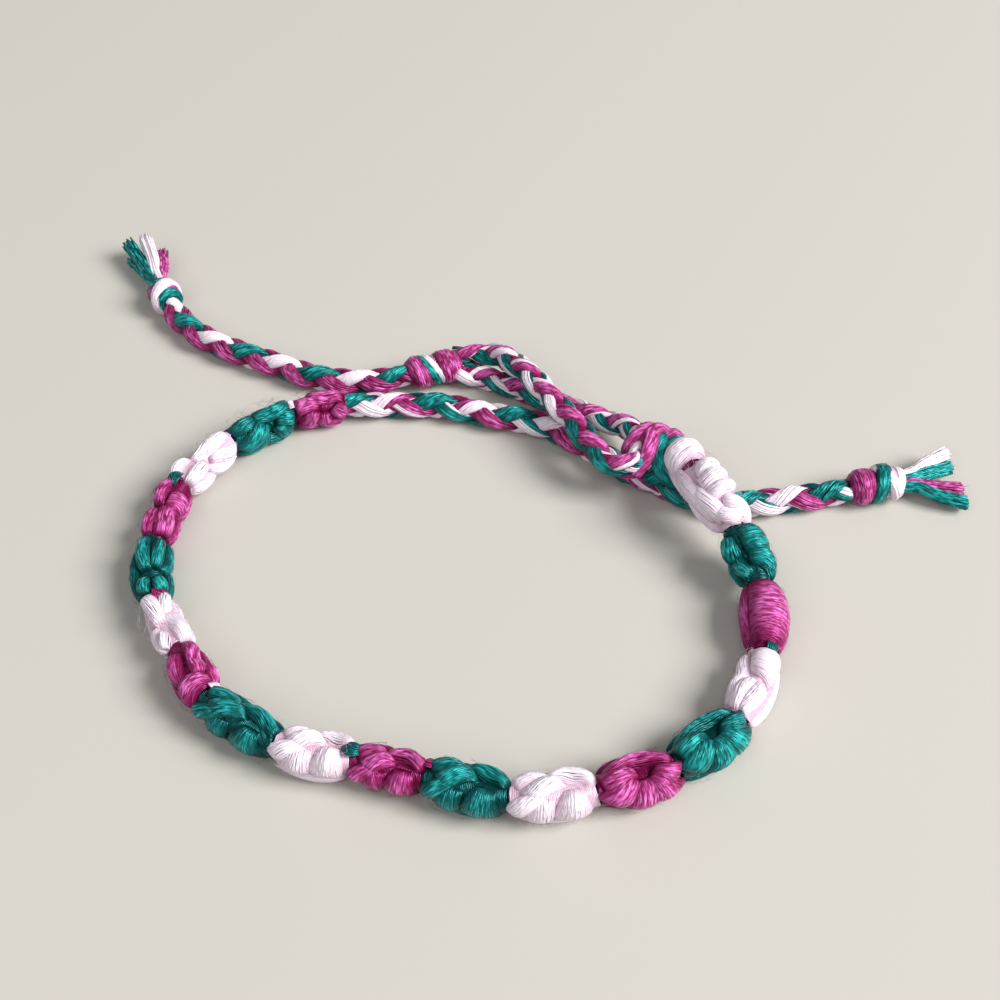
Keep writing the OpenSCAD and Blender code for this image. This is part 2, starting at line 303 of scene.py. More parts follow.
def spin(plies, outward, thick, colour, crest=0.55, sides=4, taper=0.75):
    """Tubes along plies, an array of [ply, place, xyz], with the side that faces outwards."""
    count, places, _ = plies.shape
    way = unit(np.gradient(plies, axis=1))
    across = unit(np.cross(way, outward))
    facing = np.cross(across, way)
    turn = 2 * np.pi * (np.arange(sides) + 0.5) / sides
    radius = np.broadcast_to(np.asarray(thick, float) / 2, (count, places)).copy()
    radius[:, 0] *= taper
    radius[:, -1] *= taper
    ring = around(turn, facing[:, :, None], across[:, :, None])
    points = plies[:, :, None] + radius[..., None, None] * ring
    first = (np.arange(count)[:, None] * places + np.arange(places - 1)) * sides
    corner = np.arange(sides)
    here = first[..., None] + corner
    beside = first[..., None] + (corner + 1) % sides
    quads = np.stack([here, beside, beside + sides, here + sides], -1).reshape(-1, 4)
    along = np.concatenate(
        [np.zeros((count, 1)), np.cumsum(np.linalg.norm(np.diff(plies, axis=1), axis=2), axis=1)], axis=1)
    chance = dice.random(count)
    thread = np.zeros((count, places - 1, sides, 4, 3))
    for number, (ring_up, side_up) in enumerate(((0, 0), (0, 1), (1, 1), (1, 0))):
        thread[..., number, 0] = along[:, ring_up:places - 1 + ring_up, None]
        thread[..., number, 1] = (corner + side_up) / sides
        thread[..., number, 2] = chance[:, None, None]
    starts = np.arange(count)[:, None] * places * sides
    caps = np.concatenate([starts + corner[::-1], starts + (places - 1) * sides + corner])
    cap_thread = np.zeros((2 * count, sides, 3))
    cap_thread[..., 2] = np.tile(chance, 2)[:, None]
    # Each place's crest, how far it lies on top, sets its share of painted highlight and painted shade.
    height = np.broadcast_to(np.asarray(crest, float), (count, places))[..., None] * np.ones(sides)
    return {"points": points.reshape(-1, 3), "quads": quads, "caps": caps, "colour": colour,
            "crest": height.ravel(),
            "thread": np.concatenate([thread.reshape(-1, 3), cap_thread.reshape(-1, 3)])}


def thread_piece(name, bundles):
    """One mesh of all the bundles of plies, in millimetres, with a material for each colour."""
    used = [colour for colour in COLOURS if any(bundle["colour"] == colour for bundle in bundles)]
    points = np.concatenate([bundle["points"] for bundle in bundles])
    points[:, 2] = np.maximum(points[:, 2], LOWEST)
    corners, sizes, paints, base = [], [], [], 0
    for bundle in bundles:
        corners += [bundle["quads"].ravel() + base, bundle["caps"].ravel() + base]
        kinds = [4] * len(bundle["quads"]) + [bundle["caps"].shape[1]] * len(bundle["caps"])
        sizes += kinds
        paints += [used.index(bundle["colour"])] * len(kinds)
        base += len(bundle["points"])
    corners = np.concatenate(corners)
    mesh = bpy.data.meshes.new(name)
    mesh.vertices.add(len(points))
    mesh.vertices.foreach_set("co", (points * MM).ravel())
    mesh.loops.add(len(corners))
    mesh.loops.foreach_set("vertex_index", corners.astype(np.int32))
    mesh.polygons.add(len(sizes))
    mesh.polygons.foreach_set("loop_start", np.concatenate([[0], np.cumsum(sizes)[:-1]]).astype(np.int32))
    mesh.polygons.foreach_set("material_index", np.array(paints, np.int32))
    mesh.polygons.foreach_set("use_smooth", np.array(sizes) == 4)
    mesh.update(calc_edges=True)
    mesh.validate()
    thread = mesh.attributes.new("thread", "FLOAT_VECTOR", "CORNER")
    thread.data.foreach_set("vector", np.concatenate([bundle["thread"] for bundle in bundles]).ravel())
    crest = mesh.attributes.new("crest", "FLOAT", "POINT")
    crest.data.foreach_set("value", np.concatenate([bundle["crest"] for bundle in bundles]))
    for colour in used:
        mesh.materials.append(FLOSS[colour])
    piece = bpy.data.objects.new(name, mesh)
    bpy.context.scene.collection.objects.link(piece)
    return piece


def plait(node, route, strands, thick, start_turn):
    """Four strands wound round a route, which stand out where they pass over and sink between."""
    steps, steps_far = even_steps(route, PLAIT_STEP)
    far = np.linspace(-RUN_ON, steps_far[-1] + RUN_ON, len(steps_far) + 4)
    held = np.clip(far, 0, steps_far[-1])
    place, way, side, up = route_frame(route, np.interp(held, steps_far, steps))
    place = place + (far - held)[:, None] * way
    size = thick / PLAIT_THICK
    ply = PLY * size ** 0.5
    near_start = np.exp(-((far / SQUEEZE_LONG) ** 2))
    near_end = np.exp(-(((far[-1] - far) / SQUEEZE_LONG) ** 2))
    squeeze = size * (1 - SQUEEZE * near_start - SQUEEZE * near_end)
    bundles = []
    for strand, row in enumerate(strands):
        sign = 1 if strand < 2 else -1
        lead = math.radians(STRAND_LEAD + 180 * (strand % 2)) * sign
        turn = lead + sign * (2 * np.pi * far / PLAIT_PITCH + math.radians(start_turn))
        turn = turn - sign * 0.5 * LINGER * np.sin(2 * turn)
        over = sign * np.cos(2 * turn)
        out = around(turn, side, up)
        middle = place + (squeeze * (STRAND_OUT + STRAND_OVER * over))[:, None] * out
        run = unit(np.gradient(middle, axis=0))
        across = unit(np.cross(run, out))
        rise = np.cross(across, run)
        spot = 2 * np.pi * (np.arange(STRAND_PLIES)[:, None] / STRAND_PLIES + far / STRAND_TWIST)
        spot = spot + PLY_STRAY * dice.normal(size=(STRAND_PLIES, 1))
        full = 1 + PLY_UNEVEN * dice.normal(size=(STRAND_PLIES, 1))
        full = full * STRAND_FULL[row[OWN]]
        wide = squeeze * STRAND_WIDE * full
        high = squeeze * STRAND_HIGH * full
        plies = middle + around(spot, across, rise, wide, high)
        faces = around(spot, across, rise, FLAT_TOP)
        # Painted highlight on each strand's top, painted shade on its sides and where it passes under.
        crest = swing(SIDE_CREST, np.sin(spot)) * swing(UNDER_CREST, over)
        own = STRAND_PLIES - row[OTHER_PLIES]
        bundles.append(spin(plies[:own], faces[:own], ply, row[OWN], crest[:own]))
        if row[OTHER_PLIES]:
            bundles.append(spin(plies[own:], faces[own:], ply, row[OTHER], crest[own:]))
        bundles.append(spin(middle[None], rise[None], STRAND_CORE * squeeze[None], row[OWN], sides=6))
    piece = thread_piece(node + "_floss", bundles)
    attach(piece, "root")
    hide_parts(node)
    return piece


eye_plait = plait("eye_plait", EYE_ROUTE, EYE_STRANDS, thick=2.95, start_turn=0)
tie_left = plait("tie_left", TIE_LEFT_ROUTE, TIE_LEFT_STRANDS, thick=3.2, start_turn=195)
tie_right = plait("tie_right", TIE_RIGHT_ROUTE, TIE_RIGHT_STRANDS, thick=3.2, start_turn=200)

# The knot that closes the eye and the stop knot on each tie are the plait's own strands of floss,
# wound round it and pulled tight: a few turns of each colour side by side.
EYE_KNOT_ROUTE = [(0.2, 33.8, 2.2), (-3.2, 32.8, 2.2), (-6.0, 31.9, 2.1)]
STOP_LEFT_ROUTE = [(-35.8, 44.8, 2.1), (-36.9, 46.6, 2.2), (-37.9, 48.3, 2.1)]
STOP_RIGHT_ROUTE = [(43.2, 13.2, 2.2), (46.2, 13.9, 2.3), (49.1, 14.5, 2.2)]
# Each row: the wrap's middle along the knot (0 to 1), breadth in mm, colour, thickness, slant in mm
MIDDLE, BROAD, COLOUR, THICK, SLANT = range(5)
EYE_WRAPS = [(0.19, 2.7, "magenta", 1.0, 0.2), (0.44, 1.0, "pink", 0.93, 0.9),
             (0.56, 1.3, "green", 0.95, 0.9), (0.79, 2.6, "magenta", 1.0, 0.4)]
STOP_LEFT_WRAPS = [(0.14, 1.6, "green", 0.86, 0.3), (0.38, 1.7, "pink", 1.0, 0.9),
                   (0.62, 1.5, "magenta", 0.93, -0.5), (0.84, 1.5, "green", 0.90, 0.4)]
STOP_RIGHT_WRAPS = [(0.20, 2.6, "magenta", 0.97, 0.1), (0.53, 1.6, "green", 1.06, 0.6),
                    (0.72, 1.6, "pink", 1.0, -0.9), (0.90, 1.1, "pink", 0.95, 0.3)]
WRAP_PLY = 0.22
WRAP_SPACING = 0.15
WRAP_LEAST_PLIES = 5
WRAP_PLACES = 33
WRAP_ROUNDED = 0.42
WRAP_PROUD = 0.02
WRAP_END = 0.74
WRAP_SWELL = 1.5
# Plies side by side are spread over this angle to each side, in radians, nearly a quarter turn
FAN = 1.45
# Under each wrap lies a filling of coarser turns, and a plain core runs through the whole knot.
FILL_PLY = 0.3
FILL_REACH = 0.6
FILL_PITCH = 0.24
FILL_LEAST_TURNS = 2
FILL_PLACES = 20
FILL_SUNK = 0.5
FILL_END = 0.6
FILL_SWELL = 1.8
# The filling lies under the wraps and gets mostly painted shade.
FILL_CREST = 0.2
CORE_SPAN = (0.06, 0.94)
CORE_PLACES = 8
CORE_THICK = 0.55
# The core lies under the wraps too and gets mostly painted shade.
CORE_CREST = 0.1


def fan(count):
    """Places from -1 to 1 across a bundle, closer together at its edges, where it curves down."""
    return np.sin(np.linspace(-FAN, FAN, count))[:, None]


def closing(share, end, swell):
    """How full a wrapped knot is: end at its two ends, growing to 1 further in."""
    return np.minimum(1, end + swell * np.minimum(share, 1 - share))


def wraps_round(node, route, rows, thick, high_share, lean):
    """Wraps of floss side by side round a route, one for each row."""
    last = len(route) - 1
    length = np.linalg.norm(np.array(route[-1]) - np.array(route[0]))
    bundles = []

    def on_knot(share, angle, radius):
        place, _, side, up = route_frame(route, np.clip(share, 0, 1) * last)
        out = around(angle, side, up, high=high_share)
        return place + radius[..., None] * out, out

    for row in rows:
        count = max(WRAP_LEAST_PLIES, round(FAN * row[BROAD] / WRAP_SPACING))
        across = fan(count)
        angle = np.linspace(-0.5 * np.pi, 1.5 * np.pi, WRAP_PLACES)[None]
        slant = row[SLANT] * np.cos(angle - math.radians(lean))
        share = row[MIDDLE] + (across * row[BROAD] / 2 + slant) / length
        rise = np.sqrt(1 - across**2) * np.ones_like(angle)
        radius = thick / 2 * row[THICK] * closing(share, WRAP_END, WRAP_SWELL) - WRAP_PLY / 2
        radius = radius - WRAP_ROUNDED * (1 - rise) + WRAP_PROUD * dice.normal(size=(count, 1))
        plies, out = on_knot(share, angle, radius)
        # A wrap's middle plies get painted highlight, its edge plies, which curve down, painted shade.
        bundles.append(spin(plies, out, WRAP_PLY, row[COLOUR], rise))
        first = max(0.0, row[MIDDLE] - FILL_REACH * row[BROAD] / length)
        final = min(1.0, row[MIDDLE] + FILL_REACH * row[BROAD] / length)
        turns = max(FILL_LEAST_TURNS, round((final - first) * length / FILL_PITCH))
        wound = np.linspace(0, 1, turns * FILL_PLACES + 1)
        share = first + (final - first) * wound
        radius = (thick / 2 - FILL_SUNK) * closing(share, FILL_END, FILL_SWELL)
        plies, out = on_knot(share, 2 * np.pi * turns * wound, radius)
        bundles.append(spin(plies[None], out[None], FILL_PLY, row[COLOUR], FILL_CREST))
    place, _, _, up = route_frame(route, np.linspace(*CORE_SPAN, CORE_PLACES) * last)
    bundles.append(spin(place[None], up[None], thick * CORE_THICK, rows[0][COLOUR], CORE_CREST, sides=12))
    piece = thread_piece(node + "_floss", bundles)
    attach(piece, "root")
    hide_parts(node)
    return piece


eye_knot = wraps_round("eye_knot", EYE_KNOT_ROUTE, EYE_WRAPS, thick=4.4, high_share=0.88, lean=135)
stop_knot_left = wraps_round("stop_knot_left", STOP_LEFT_ROUTE, STOP_LEFT_WRAPS, thick=4.3,
                             high_share=0.95, lean=135)
stop_knot_right = wraps_round("stop_knot_right", STOP_RIGHT_ROUTE, STOP_RIGHT_WRAPS, thick=4.3,
                              high_share=0.95, lean=45)

# The tassels are the cut ends of the same threads, loose beyond the stop knots. They lie on the
# surface in locks of one colour, each a bundle of cut plies, and fray a little at their tips.
# Each row: where the lock's tip lies, in mm, and its colour
TASSEL_LEFT = [((-43.2, 56.7, 2.5), "green"), ((-41.1, 57.4, 2.9), "pink"),
               ((-38.8, 55.6, 1.9), "magenta"), ((-42.6, 55.0, 1.3), "green")]
TASSEL_RIGHT = [((55.0, 18.5, 2.3), "pink"), ((55.2, 16.9, 1.9), "green"),
                ((55.9, 13.9, 1.3), "magenta"), ((56.0, 12.0, 1.3), "green")]
# Each row: a place on a lock, as shares of the tip's distance aside from the knot's own line, of the
# lock's length straight on along that line, and of the way from the knot to the tip
LOCK_BENDS = [(0.20, 0.0, 0.0), (0.28, 0.25, 0.0), (0.08, 0.0, 0.55), (0.0, 0.0, 1.0)]
LOCK_SUNK = 0.3
LOCK_THICK = 1.75
LOCK_PLIES = 46
LOCK_PLY = 0.30
LOCK_PLACES = 16
LOCK_FLARE = (0.6, 0.75, 0.82, 0.86)
TIP_FLARE = 0.12
LOCK_STRAY = 0.05
STRAY_ALONG = (0.2, 0.6, 1, 1.6)
CUT_UNEVEN = 0.15
FINE_ENDS = 6
FINE_PLY = 0.05
FINE_PLACES = 7
FINE_START = 0.4
FINE_SPREAD = 0.5
FINE_SHORTER = 0.4
FINE_BOW = 0.3
FINE_FLAT = (1, 1, 0.5)
NEARLY_UP = (0.1, 0.1, 1.0)
GOLDEN_TURN = math.pi * (3 - math.sqrt(5))
UP = np.array([0.0, 0.0, 1.0])


def tassel(node, knot_route, locks):
    """Locks of plies that leave a knot's mouth together and part towards their tips."""
    mouth = np.array(knot_route[-1])
    out = unit(mouth - np.array(knot_route[-2]))
    root = mouth - LOCK_SUNK * out
    across = unit(np.cross(out, UP))
    bundles = []
    for tip, colour in locks:
        tip = np.array(tip)
        aside = tip - root - out * ((tip - root) @ out)
        length = np.linalg.norm(tip - root)
        middle = np.array([root + share_aside * aside + share_on * length * out + share_tip * (tip - root)
                           for share_aside, share_on, share_tip in LOCK_BENDS])
        plies, faces = [], []
        for number in range(LOCK_PLIES):
            spot = GOLDEN_TURN * number
            reach = LOCK_THICK / 2 * math.sqrt((number + 0.5) / LOCK_PLIES)
            shift = reach * (math.cos(spot) * across + math.sin(spot) * UP)
            flare = np.array(LOCK_FLARE)
            flare[-1] += TIP_FLARE * dice.random()
            stray = LOCK_STRAY * dice.normal(size=(len(middle), 3)) * np.array(STRAY_ALONG)[:, None]
            route = middle + flare[:, None] * shift + stray
            route[-1] -= out * abs(dice.normal()) * CUT_UNEVEN
            route[:, 2] = np.maximum(route[:, 2], LOCK_PLY / 2)
            plies.append(route_at(route, np.linspace(0, len(route) - 1, LOCK_PLACES)))
            faces.append(np.broadcast_to(shift + 0.5 * UP, (LOCK_PLACES, 3)))
        # The locks get full painted highlight all along.
        bundles.append(spin(np.array(plies), np.array(faces), LOCK_PLY, colour, crest=1.0))
        fine, fine_faces = [], []
        for number in range(FINE_ENDS):
            start = middle[2] + FINE_START * dice.normal(size=3)
            end = tip + FINE_SPREAD * dice.normal(size=3) * np.array(FINE_FLAT)
            end = end - FINE_SHORTER * out * dice.random()
            bow = FINE_BOW * dice.normal(size=3)
            route = np.array([start, (start + end) / 2 + bow, end])
            route[:, 2] = np.maximum(route[:, 2], FINE_PLY)
            fine.append(route_at(route, np.linspace(0, len(route) - 1, FINE_PLACES)))
            fine_faces.append(np.broadcast_to(NEARLY_UP, (FINE_PLACES, 3)))
        bundles.append(spin(np.array(fine), np.array(fine_faces), FINE_PLY, colour, sides=3))
    piece = thread_piece(node + "_floss", bundles)
    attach(piece, "root")
    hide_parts(node)
    return piece


tassel_left = tassel("tassel_left", STOP_LEFT_ROUTE, TASSEL_LEFT)
tassel_right = tassel("tassel_right", STOP_RIGHT_ROUTE, TASSEL_RIGHT)


# The band is a row of eighteen fat knots, tied one after the other in pink, green and magenta floss
# round the threads of the other two colours. Each knot is a ball of thread whose loops cross on top
# and leave a small dimple.
BAND_ROUTE = [
    (24.4, 16.3, 5.2), (26.8, 9.6, 6.3), (29.4, 5.0, 4.9), (31.4, -1.1, 3.2), (30.8, -9.4, 2.5),
    (27.4, -17.1, 2.4), (21.1, -22.3, 2.4), (13.9, -24.9, 2.4), (6.0, -25.6, 2.4), (-1.7, -23.6, 2.4),
    (-8.5, -21.8, 2.4), (-15.7, -20.0, 2.4), (-23.1, -14.8, 2.4), (-26.6, -9.1, 2.4), (-30.2, -2.8, 2.4),
    (-31.5, 5.2, 2.4), (-30.0, 13.3, 2.4), (-25.5, 20.2, 2.4), (-19.0, 25.1, 2.4), (-12.9, 26.4, 2.4)]
KNOT_R = 2.45
KNOT_END_R = 1.8
KNOT_LEAST_R = 1.2
KNOT_ROUND = 0.6
KNOT_OVERHANG = 0.03
DIMPLE = 0.8
DIMPLE_LONG = 0.11
DIMPLE_TURN = 24
# The loops of each kind of knot. Places along the knot run from 0 to 1, turns are degrees round it
# from the dimple (minus is towards the outside of the bracelet), widths, lift and bow are mm.
U0, TURN0, U1, TURN1, WIDE0, WIDE1, LIFT, BOW = range(8)
LOOPS = {
    "curl": [
        (0.30, -18, 0.34, -150, 0.7, 2.2, 0.48, 0.0),
        (0.66, -40, 0.70, -165, 1.0, 1.6, 0.42, 0.0),
        (0.55, 45, 1.00, 5, 1.1, 1.1, 0.50, 0.0),
        (0.64, -30, 1.00, -105, 0.7, 1.1, 0.60, 0.3),
        (0.42, 18, 0.84, -50, 0.9, 1.1, 0.68, 0.2),
        (0.62, 32, 0.02, -2, 0.8, 0.9, 0.62, -0.8)],
    "shell": [
        (0.97, 25, 0.02, 15, 0.7, 0.8, 0.58, -1.1),
        (0.38, -6, 0.00, -50, 0.6, 1.5, 0.50, 0.0),
        (0.50, 4, 1.00, -8, 0.7, 1.5, 0.56, 0.0),
        (0.40, -15, 0.14, -140, 0.7, 2.1, 0.60, 0.0),
        (0.48, -18, 0.50, -145, 0.8, 2.2, 0.62, 0.0),
        (0.55, -12, 0.92, -85, 0.8, 1.9, 0.63, 0.1)],
    "barrel": [
        (0.02, 14, 0.98, 16, 1.4, 1.4, 0.48, -0.2),
        (0.02, 50, 0.98, 55, 1.2, 1.2, 0.50, 0.0),
        (0.49, -240, 0.48, 2, 3.4, 3.8, 0.60, 0.0)],
    "bulge": [
        (0.34, -5, 0.36, -150, 1.4, 2.4, 0.56, 0.0),
        (0.50, 45, 0.98, 0, 1.3, 0.8, 0.56, 0.0),
        (0.10, 28, 0.62, 58, 1.0, 1.3, 0.78, -0.4),
        (0.60, -10, 0.94, -115, 0.9, 1.3, 0.64, -0.5)],
    "long": [
        (0.90, -60, 0.30, -95, 1.2, 1.3, 0.45, 0.0),
        (0.14, 30, 0.10, -130, 0.9, 1.1, 0.56, 0.5),
        (0.60, 38, 0.02, 45, 0.7, 1.1, 0.60, 0.1),
        (1.00, 8, 0.26, 2, 0.9, 1.2, 0.68, 0.1)],
    "ripple": [
        (0.50, -70, 0.00, -85, 0.8, 0.9, 0.45, 0.0),
        (0.34, -38, 0.02, -70, 0.55, 0.5, 0.66, -0.5),
        (1.00, -45, 0.44, -22, 1.0, 1.15, 0.64, -0.35),
        (1.00, 48, 0.52, 8, 0.9, 0.8, 0.60, 0.2),
        (0.62, 20, 0.00, 38, 1.0, 1.25, 0.68, 0.1)],
    "four": [
        (0.98, -38, 0.40, -22, 1.0, 0.9, 0.64, 0.1),
        (0.96, 34, 0.42, 20, 0.8, 0.9, 0.60, 0.1),
        (0.30, -20, 0.02, -45, 0.7, 1.0, 0.60, 0.0),
        (0.32, 16, 0.00, 40, 0.7, 1.2, 0.64, 0.2),
        (0.90, -85, 0.05, -100, 1.2, 1.2, 0.45, 0.0)],
    "zigzag": [
        (0.48, -50, 0.00, -48, 1.0, 1.0, 0.50, 0.0),
        (1.00, -35, 0.50, -45, 0.9, 1.0, 0.62, 0.2),
        (0.60, 95, 0.60, -16, 1.8, 1.1, 0.66, 0.3),
        (0.54, 8, 0.00, 30, 1.2, 1.6, 0.70, 0.2)],
    "stair": [
        (0.38, -55, 0.00, -48, 0.8, 0.9, 0.50, 0.0),
        (0.52, 30, 1.00, 72, 0.9, 1.1, 0.55, 0.1),
        (0.48, 32, 0.00, 42, 1.0, 1.0, 0.66, 0.2),
        (0.36, -12, 1.00, -28, 1.0, 1.1, 0.68, 0.3)],
    "crown": [
        (0.02, -30, 0.45, -35, 1.2, 1.3, 0.42, 0.0),
        (0.46, 25, 0.32, 110, 0.8, 1.5, 0.52, 0.0),
        (0.66, 22, 0.86, 110, 0.7, 1.4, 0.56, 0.0),
        (0.66, 4, 1.02, 22, 0.9, 1.2, 0.62, 0.0),
        (0.04, 62, 0.54, -8, 1.1, 1.3, 0.72, 0.3),
        (0.36, -42, 1.00, -44, 1.0, 1.1, 0.72, 0.8)],
    "rose": [
        (0.46, 22, 0.20, 100, 0.8, 1.4, 0.54, 0.0),
        (0.62, 30, 0.62, 120, 0.7, 1.4, 0.52, 0.0),
        (0.55, -4, 0.00, 8, 0.9, 1.4, 0.64, 0.2),
        (0.76, 14, 1.02, 50, 0.8, 1.2, 0.64, 0.0),
        (0.24, -48, 1.00, -46, 1.1, 1.1, 0.68, 0.6)],
    "stitched": [
        (0.20, 74, 0.88, 46, 1.2, 1.6, 0.52, -0.2),
        (0.70, -20, 0.98, -120, 1.0, 1.5, 0.58, 0.4),
        (0.50, 46, 0.94, 14, 1.1, 1.2, 0.60, -0.3),
        (0.74, 20, 0.95, -62, 1.0, 0.9, 0.68, 1.0),
        (0.43, 12, 0.36, -120, 0.7, 0.9, 0.62, 0.0),
        (0.54, 20, 0.48, -125, 0.7, 0.9, 0.66, 0.0),
        (0.65, 18, 0.61, -130, 0.7, 0.9, 0.66, 0.1),
        (0.18, 100, 0.12, -110, 1.4, 1.3, 0.66, 0.0)],
    "folded": [
        (0.52, -80, 1.02, -50, 1.4, 0.9, 0.54, 0.0),
        (0.48, -28, 1.02, -28, 1.3, 0.9, 0.58, 0.2),
        (0.22, -8, 0.28, -130, 1.3, 2.2, 0.62, 0.0),
        (0.10, 30, 0.96, 16, 0.9, 0.9, 0.62, -0.6)],
}
BACK_LOOPS = [
    (0.02, 100, 0.60, 120, 1.3, 1.4, 0.60, 0.0),
    (0.40, 78, 0.98, 100, 1.3, 1.3, 0.60, 0.3),
    (0.05, 155, 0.95, 165, 1.4, 1.4, 0.60, 0.0),
    (0.98, 195, 0.05, 205, 1.3, 1.3, 0.55, 0.3)]
# Each row: where the knot starts and ends, counted in points of the route, its colour, thickness,
# the place and the angle of its dimple (0 is the outside of the bracelet, 90 the top), its loops
START, END, FLOSS_NAME, WIDTH, DIMPLE_AT, DIMPLE_ANGLE, KIND = range(7)
KNOTS = [
    (0, 2, "pink", 1.10, 0.37, 120, "stitched"),
    (2, 3, "green", 1.06, 0.55, 130, "bulge"),
    (3, 4, "magenta", 1.06, 0.90, 160, "barrel"),
    (4, 5, "pink", 1.02, 0.45, 135, "folded"),
    (5, 6, "green", 1.10, 0.40, 100, "shell"),
    (6, 7, "magenta", 1.08, 0.45, 85, "shell"),
    (7, 8, "pink", 1.06, 0.30, 100, "curl"),
    (8, 9, "green", 1.08, 0.30, 100, "curl"),
    (9, 10, "magenta", 0.94, 0.40, 90, "curl"),
    (10, 11, "pink", 1.00, 0.30, 120, "curl"),
    (11, 12, "green", 0.98, 0.20, 95, "curl"),
    (12, 13, "magenta", 1.00, 0.60, 115, "long"),
    (13, 14, "pink", 0.92, 0.40, 100, "ripple"),
    (14, 15, "green", 0.94, 0.33, 100, "four"),
    (15, 16, "magenta", 0.92, 0.30, 110, "zigzag"),
    (16, 17, "pink", 0.95, 0.50, 105, "stair"),
    (17, 18, "green", 1.04, 0.58, 135, "crown"),
    (18, 19, "magenta", 0.92, 0.68, 125, "rose")]
# The plies of the loops, and the folds between the loops
KNOT_PLY = 0.235
PLY_SPACING = 0.145
PLY_STEP = 0.5
LOOP_LEAST = 7
LOOP_R = 0.9 * KNOT_R
LOOP_FULL = 1.3
LOOP_LIFT = 0.27
LOOP_ENDS = 0.4
LOOP_TUCK = 0.2
LOOP_CREST = 0.8
SWAY = 0.05
SWAY_WAVES = 0.6
KNOT_PLY_PROUD = 0.015
FOLD_LEAST = 0.55
FOLD_DEEPER = 0.6
# Below the loops the thread is wound closely round a plain core.
WINDING_PITCH = 0.16
WINDING_PLACES = 12
WINDING_SLANT = 0.25
WINDING_FROM = 0.015
WINDING_SHARE = 0.97
WINDING_PROUD = 0.08
# The winding lies under the loops and gets mostly painted shade.
WINDING_CREST = 0.12
KNOT_CORE_SPAN = (0.02, 0.98)
KNOT_CORE_PLACES = 9
KNOT_CORE_SUNK = 1.9
KNOT_CORE_LEAST = 0.5
# The fuzz: how many fibres stand on a knot, and their sizes in mm, shares of the knot and degrees
FIBRES = {"pink": 130, "green": 80, "magenta": 80}
FIBRE_PLY = 0.022
FIBRE_PLACES = 5
FIBRE_FROM = 0.1
FIBRE_SHARE = 0.8
FIBRE_LONG = 0.06
FIBRE_TURN = 14
FIBRE_TALL = 0.3
FIBRE_SUNK = 0.05
FIBRE_LEAN = 0.1


def knot_count(knot, share):
    """The count along the band's route at a share of a knot's length."""
    return knot[START] + (knot[END] - knot[START]) * share


def knot_radius(knot, share):
    """The radius of a knot's plain form, a barrel that is fullest in its middle."""
    return KNOT_END_R + (KNOT_R * knot[WIDTH] - KNOT_END_R) * np.sin(np.pi * share) ** KNOT_ROUND


def knot_place(knot, share, turn, depth):
    """Places on a knot, a depth in mm above its plain form; share runs along it, turn round it."""
    count = knot_count(knot, np.clip(share, -KNOT_OVERHANG, 1 + KNOT_OVERHANG))
    place, _, side, up = route_frame(BAND_ROUTE, np.clip(count, 0, len(BAND_ROUTE) - 1))
    off_turn = (turn + 180) % 360 - 180
    off_place = share - knot[DIMPLE_AT]
    sunk = DIMPLE * np.exp(-((off_place / DIMPLE_LONG) ** 2) - (off_turn / DIMPLE_TURN) ** 2)
    out = around(np.radians(turn + knot[DIMPLE_ANGLE]), side, up)
    radius = knot_radius(knot, np.clip(share, 0, 1)) + depth - sunk
    return place + np.maximum(radius, KNOT_LEAST_R)[..., None] * out, out


def valley(share):
    """How deep in mm the folds between the loops of a knot go."""
    return FOLD_LEAST + FOLD_DEEPER * np.sqrt(np.sin(np.pi * np.clip(share, 0, 1)))


def loop_of_floss(knot, loop, length):
    """The plies of one loop, laid side by side over the knot, highest in its middle."""
    mean_r = LOOP_R * knot[WIDTH]
    start = np.array([loop[U0] * length, math.radians(loop[TURN0]) * mean_r])
    end = np.array([loop[U1] * length, math.radians(loop[TURN1]) * mean_r])
    run = end - start
    reach = np.linalg.norm(run)
    beside = np.array([-run[1], run[0]]) / reach
    steps = max(LOOP_LEAST, round(reach / PLY_STEP))
    count = max(LOOP_LEAST, round(2 * FAN * max(loop[WIDE0], loop[WIDE1]) / PLY_SPACING))
    along = np.linspace(0, 1, steps)[None]
    across = fan(count)
    waves = along * (SWAY_WAVES + dice.random((count, 1)))
    sway = SWAY * np.sin(2 * np.pi * (waves + dice.random((count, 1))))
    wide = loop[WIDE0] + (loop[WIDE1] - loop[WIDE0]) * along
    offset = across * wide + loop[BOW] * np.sin(np.pi * along) + sway
    flat = start + run * along[..., None] + offset[..., None] * beside
    share = flat[..., 0] / length
    ends = np.sin(np.pi * along) ** LOOP_ENDS
    rise = (loop[LIFT] + LOOP_LIFT) * LOOP_FULL * np.sqrt(1.0 - across**2) * ends
    height = rise - valley(share) + KNOT_PLY_PROUD * dice.normal(size=(count, 1)) - LOOP_TUCK * (1 - ends)
    # The tops of the loops get painted highlight, their low edges and ends painted shade.
    crest = np.clip(rise / LOOP_FULL / LOOP_CREST, 0, 1)
    plies, outward = knot_place(knot, share, np.degrees(flat[..., 1] / mean_r), height)
    return plies, outward, crest


def winding(knot, length, colour):
    """One thread wound closely round the knot from end to end."""
    turns = round(length / WINDING_PITCH)
    wound = np.linspace(0, 1, turns * WINDING_PLACES + 1)
    slant = WINDING_SLANT * np.cos(2 * np.pi * turns * wound) / length
    share = WINDING_FROM + WINDING_SHARE * wound + slant
    plies, outward = knot_place(knot, share, 360 * turns * wound, WINDING_PROUD - valley(share))
    return spin(plies[None], outward[None], KNOT_PLY, colour, WINDING_CREST)


def knot_core(knot, colour):
    """The plain body under the winding, which closes the knot to the light. It is painted all in shade."""
    share = np.linspace(*KNOT_CORE_SPAN, KNOT_CORE_PLACES)
    place, _, _, up = route_frame(BAND_ROUTE, knot_count(knot, share))
    radius = np.maximum(knot_radius(knot, share) - KNOT_CORE_SUNK, KNOT_CORE_LEAST)
    return spin(place[None], up[None], 2 * radius[None], colour, crest=0.0, sides=12, taper=0.9)


